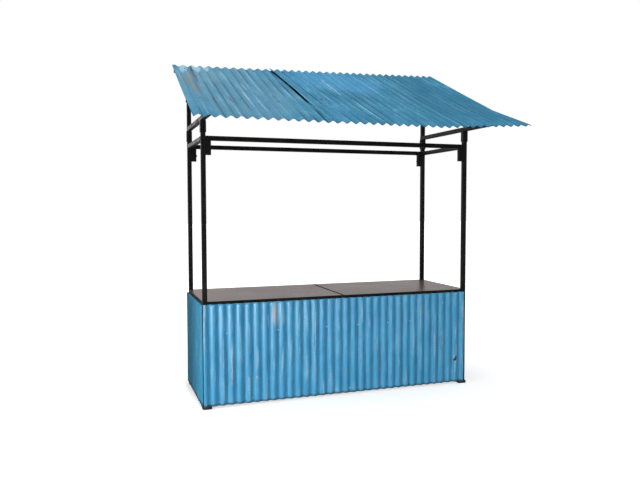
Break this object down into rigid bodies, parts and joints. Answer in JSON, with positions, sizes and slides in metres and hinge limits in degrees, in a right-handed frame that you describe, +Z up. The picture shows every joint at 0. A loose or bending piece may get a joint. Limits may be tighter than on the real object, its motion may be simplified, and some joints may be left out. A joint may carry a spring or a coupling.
{
  "type": "market stall",
  "caption": "Open-frame market stall: square-tube steel frame, counter with boards in a steel edge, corrugated sheet base and a single-pitch corrugated sheet roof over the serving side.",
  "frame": {"origin": "middle of the part's box, on the floor", "axes": "+Z up, the customers' side faces -Y, +X to the right as the customer sees it"},
  "size_m": [2.921, 1.788, 3.2095],
  "materials": {
    "frame_tube": "black paint on square steel tube, satin, worn and rusty at the edges",
    "panel_sheet": "sky-blue paint on corrugated steel sheet, streaked with rust and dirt",
    "roof_sheet": "weathered blue paint on corrugated steel sheet, faded, with rust at the edges",
    "counter_board": "grey-brown faced plywood with a slight sheen",
    "foot_pad": "black pads, scuffed"
  },
  "bodies": {
    "root": {"foot_pads": "foot_pad", "post_front_left": "frame_tube", "post_front_right": "frame_tube", "post_rear_left": "frame_tube", "post_rear_right": "frame_tube", "bottom_rail_front": "frame_tube", "bottom_rail_rear": "frame_tube", "bottom_rail_left": "frame_tube", "bottom_rail_right": "frame_tube", "mid_rail_front": "frame_tube", "mid_rail_left": "frame_tube", "mid_rail_right": "frame_tube", "top_rail_front": "frame_tube", "top_rail_rear": "frame_tube", "top_rail_left": "frame_tube", "top_rail_right": "frame_tube", "top_rail_middle": "frame_tube", "front_sheet_left": "panel_sheet", "front_sheet_right": "panel_sheet", "side_sheet_left": "panel_sheet", "side_sheet_right": "panel_sheet", "counter_edge": "frame_tube", "counter_board_left": "counter_board", "counter_board_right": "counter_board", "head_beam_front": "frame_tube", "head_beam_rear": "frame_tube", "head_beam_left": "frame_tube", "head_beam_right": "frame_tube", "corner_stubs": "frame_tube", "post_sockets": "frame_tube", "canopy_bar_left": "frame_tube", "canopy_bar_right": "frame_tube", "upright_left": "frame_tube", "upright_right": "frame_tube", "rafter_left": "frame_tube", "rafter_right": "frame_tube", "purlin_front": "frame_tube", "purlin_rear": "frame_tube", "roof_sheet_left": "roof_sheet", "roof_sheet_middle": "roof_sheet", "roof_sheet_right": "roof_sheet"}
  },
  "joints": []
}
